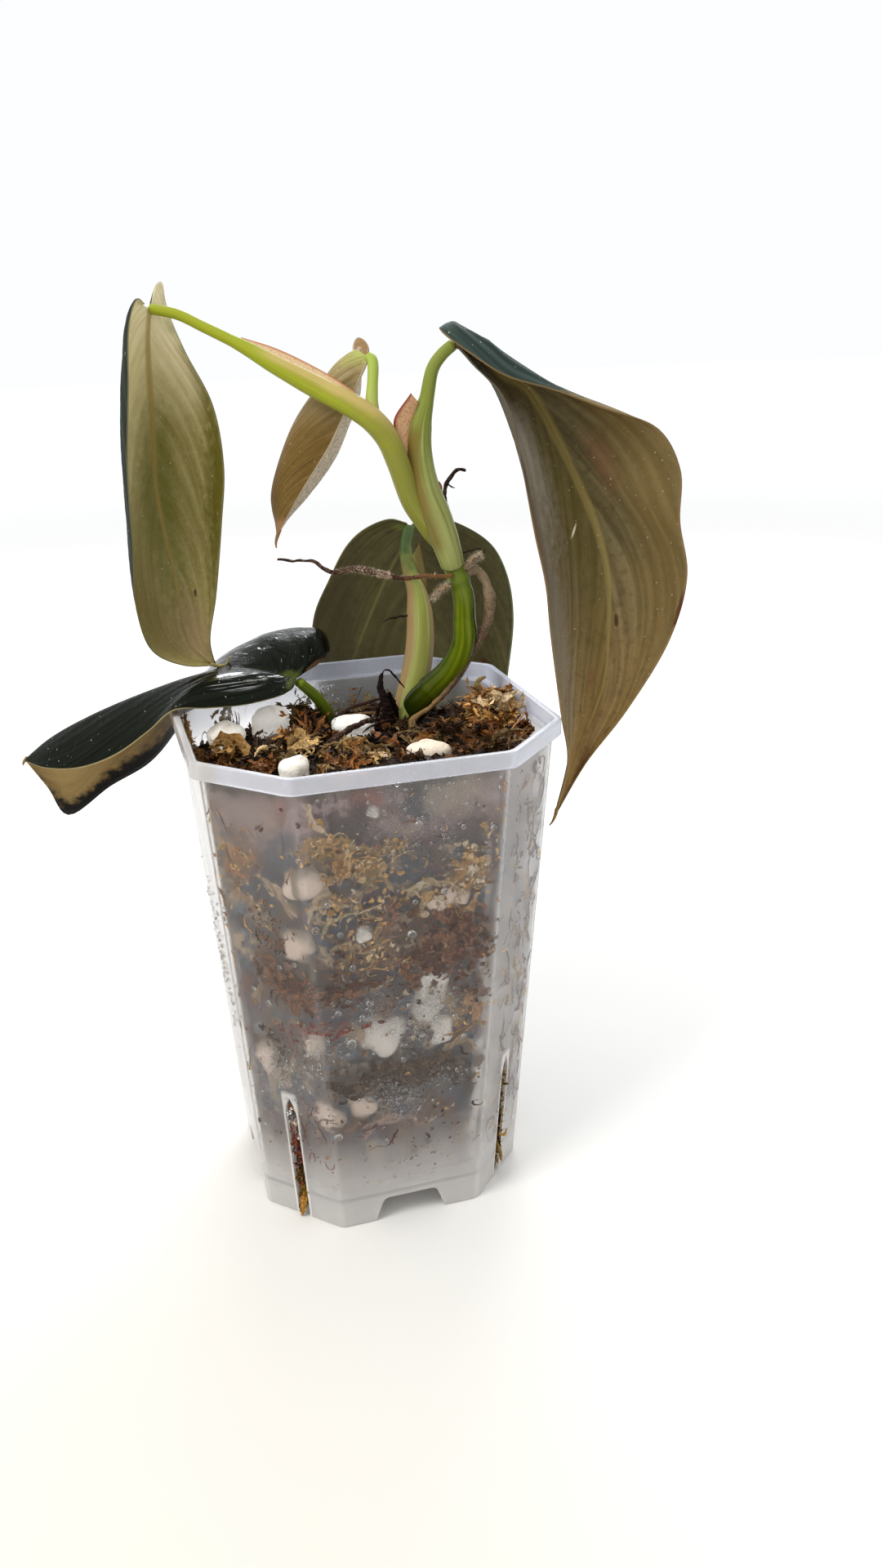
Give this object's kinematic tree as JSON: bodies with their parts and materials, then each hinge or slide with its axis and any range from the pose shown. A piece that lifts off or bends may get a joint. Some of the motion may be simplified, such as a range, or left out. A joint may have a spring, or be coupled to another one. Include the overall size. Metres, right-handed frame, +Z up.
{
  "type": "potted climbing philodendron",
  "caption": "Young climbing philodendron with large hanging heart-shaped leaves in a clear square nursery pot of bark soil and moss.",
  "frame": {"origin": "middle of the pot's foot, on the surface it stands on", "axes": "+Z up; X and Y along the pot's sides, with the side that faces the viewer towards -Y"},
  "size_m": [0.1523, 0.0953, 0.2125],
  "materials": {
    "frosted": "frosted clear polypropylene",
    "substrate": "damp bark, coir and moss",
    "pumice": "rough, porous",
    "stem_green": "glossy living stem",
    "stalk_green": "satin, striped leaf stalk",
    "young_blade": "satin young leaf, pale speckled half",
    "olive_blade": "satin olive-brown underside, dark green face",
    "dark_blade": "wet, very glossy dark green face",
    "root_brown": "fuzzy root bark",
    "root_dark": "dried root bark"
  },
  "bodies": {
    "root": {"pot": "frosted", "soil": "substrate", "pumice_1": "pumice", "pumice_2": "pumice", "pumice_3": "pumice", "pumice_4": "pumice", "pumice_5": "pumice", "pumice_6": "pumice", "stem": "stem_green", "stalk_right": "stalk_green", "stalk_left": "stalk_green", "stalk_new": "stalk_green", "stalk_back": "stalk_green", "stalk_front": "stalk_green", "blade_left": "olive_blade", "blade_new": "young_blade", "blade_right": "olive_blade", "blade_back": "olive_blade", "blade_front": "dark_blade", "root_long": "root_brown", "root_upright": "root_dark", "root_hanging": "root_brown", "dead_stalk": "root_dark", "root_surface": "root_dark"}
  },
  "joints": []
}
